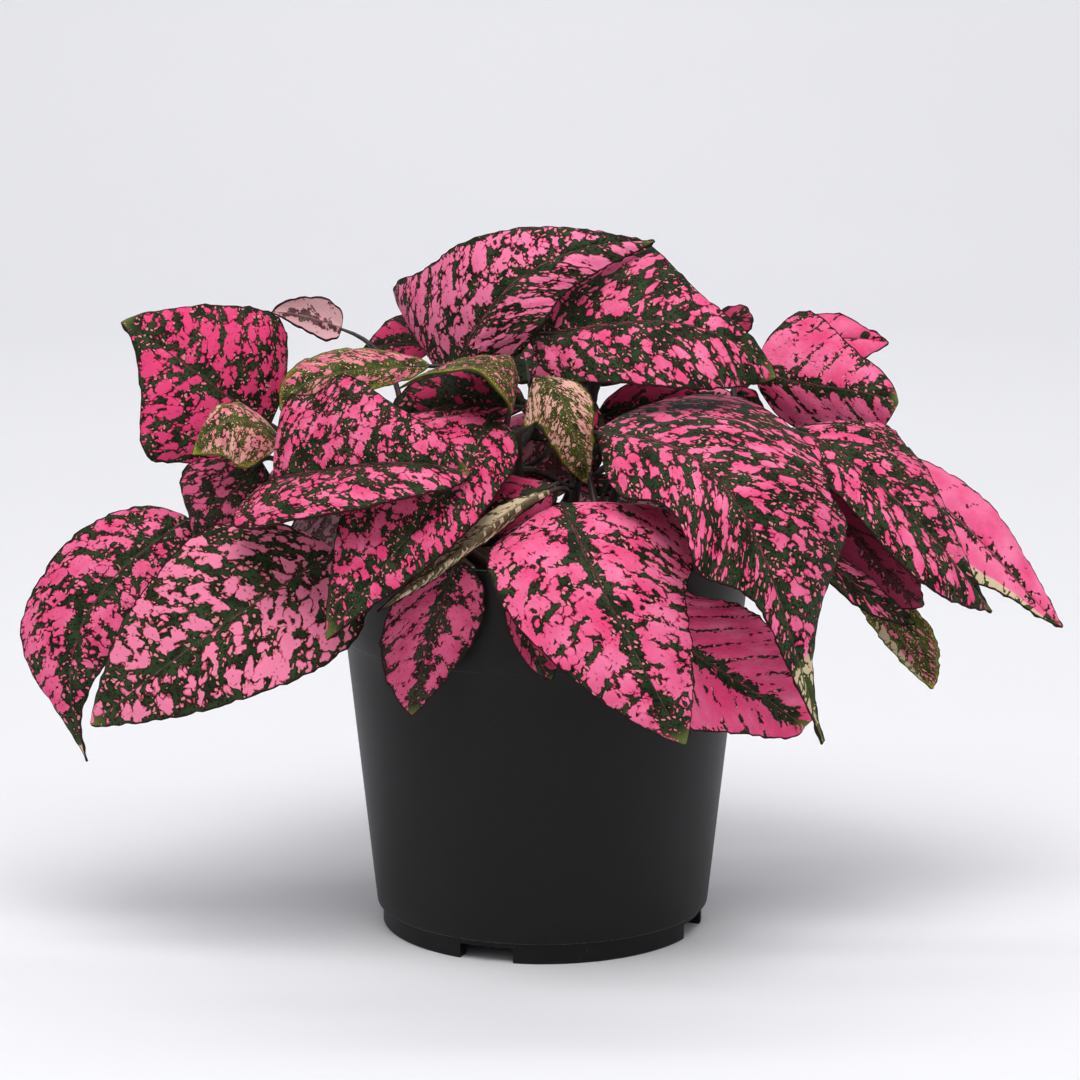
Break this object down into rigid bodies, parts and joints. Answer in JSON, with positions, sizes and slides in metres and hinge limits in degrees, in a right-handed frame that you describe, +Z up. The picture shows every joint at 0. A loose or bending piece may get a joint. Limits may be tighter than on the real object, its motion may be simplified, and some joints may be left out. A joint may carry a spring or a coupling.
{
  "type": "potted polka dot plant",
  "caption": "Bushy polka dot plant with pink-spotted dark green leaves, standing in a tapered round black nursery pot.",
  "frame": {"origin": "centre of the pot's base, at the foot's underside", "axes": "+Z up, -Y towards the front seen in the picture, +X to the picture's right"},
  "size_m": [0.2708, 0.1633, 0.1839],
  "materials": {
    "pot": "satin",
    "soil": "rough",
    "stem": "satin",
    "leaf_spotted": "satin",
    "leaf_shaded": "satin",
    "leaf_young": "satin"
  },
  "bodies": {
    "root": {"leaf_front_center": "leaf_spotted", "leaf_front_small": "leaf_shaded", "leaf_front_strip": "leaf_shaded", "leaf_front_right": "leaf_spotted", "leaf_right_front": "leaf_spotted", "leaf_right": "leaf_spotted", "leaf_far_right": "leaf_spotted", "leaf_right_upper": "leaf_spotted", "leaf_right_behind": "leaf_spotted", "leaf_top_front": "leaf_spotted", "leaf_top": "leaf_spotted", "leaf_top_behind": "leaf_shaded", "leaf_top_left_behind": "leaf_shaded", "leaf_left_upper": "leaf_spotted", "leaf_left_behind": "leaf_shaded", "leaf_left_crest": "leaf_young", "leaf_left_middle": "leaf_spotted", "leaf_left_center": "leaf_spotted", "leaf_folded_edge": "leaf_young", "leaf_left_low": "leaf_spotted", "leaf_far_left": "leaf_spotted", "leaf_left_young": "leaf_young", "leaf_left_dark": "leaf_shaded", "leaf_left_tiny": "leaf_young", "leaf_crown_curl": "leaf_young", "leaf_crown_young": "leaf_young", "leaf_crown_dark": "leaf_shaded", "leaf_under_center": "leaf_shaded", "leaf_under_right": "leaf_shaded", "leaf_low_right": "leaf_spotted", "leaf_low_right_tip": "leaf_young", "leaf_behind_right_high": "leaf_shaded", "leaf_behind_right_low": "leaf_shaded", "leaf_behind_center": "leaf_shaded", "leaf_crown_under": "leaf_shaded", "leaf_back_low_right": "leaf_spotted", "leaf_back_low_center_right": "leaf_spotted", "leaf_back_low_center_left": "leaf_spotted", "leaf_back_low_left": "leaf_spotted", "leaf_back_middle_right": "leaf_spotted", "leaf_back_middle_center": "leaf_spotted", "leaf_back_middle_left": "leaf_spotted", "leaf_back_high_right": "leaf_spotted", "leaf_back_high_left": "leaf_spotted", "leaf_back_far_left": "leaf_spotted", "pot": "pot", "soil": "soil", "stem_left": "stem", "stem_middle": "stem", "stem_top": "stem", "stem_right": "stem", "stem_front": "stem", "stem_back": "stem", "stem_back_right": "stem"}
  },
  "joints": []
}
